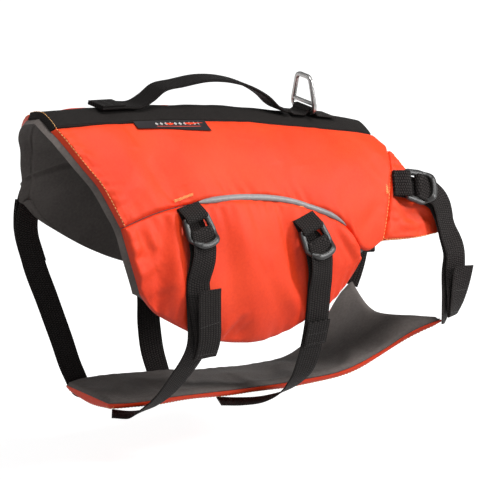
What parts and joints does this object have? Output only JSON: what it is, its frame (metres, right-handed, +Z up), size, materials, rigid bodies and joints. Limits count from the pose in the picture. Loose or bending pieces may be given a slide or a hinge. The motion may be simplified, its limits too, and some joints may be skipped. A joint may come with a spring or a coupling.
{
  "type": "dog life jacket",
  "caption": "Padded dog life jacket with a saddle-shaped back, side flaps, belly pad, webbing straps with ladder locks, a lift handle and a swinging leash ring.",
  "frame": {"origin": "on the wearer's back, under the rear end of the spine band, where the lining rests", "axes": "+X towards the wearer's head, +Y the wearer's left side, +Z up"},
  "size_m": [0.4178, 0.2156, 0.3088],
  "materials": {
    "orange_cloth": "plain-weave nylon over foam, soft sheen",
    "grey_lining": "smooth dark grey nylon lining",
    "black_webbing": "ribbed woven webbing, matte",
    "reflective_tape": "grey reflective piping",
    "dark_plastic": "moulded nylon, fine matte",
    "satin_steel": "satin cast",
    "black_label": "smooth woven label, blank"
  },
  "bodies": {
    "jacket": {"lining": "grey_lining", "spine_band": "black_webbing", "back_panel_right": "orange_cloth", "side_flap_right": "orange_cloth", "shoulder_wing_right": "orange_cloth", "reflective_piping_right": "reflective_tape", "back_panel_left": "orange_cloth", "side_flap_left": "orange_cloth", "shoulder_wing_left": "orange_cloth", "reflective_piping_left": "reflective_tape", "side_label": "black_label", "handle": "black_webbing", "ring_loop": "black_webbing", "tab_right_rear": "black_webbing", "ladder_lock_right_rear": "dark_plastic", "strap_right_rear": "black_webbing", "tab_right_front": "black_webbing", "ladder_lock_right_front": "dark_plastic", "strap_right_front": "black_webbing", "tab_left_rear": "black_webbing", "ladder_lock_left_rear": "dark_plastic", "strap_left_rear": "black_webbing", "tab_left_front": "black_webbing", "ladder_lock_left_front": "dark_plastic", "strap_left_front": "black_webbing", "tab_neck_right": "black_webbing", "ladder_lock_neck_right": "dark_plastic", "strap_neck_right": "black_webbing", "tab_neck_left": "black_webbing", "ladder_lock_neck_left": "dark_plastic", "strap_neck_left": "black_webbing", "belly_pad_lining": "grey_lining", "belly_pad_shell": "orange_cloth"},
    "ring": {"leash_ring": "satin_steel"}
  },
  "joints": [
    {"name": "ring_swing", "type": "hinge", "parent": "jacket", "child": "ring", "pos_m": [0.291, 0, -0.03677], "axis": [0, 1, 0], "range_deg": [-50, 80]}
  ]
}
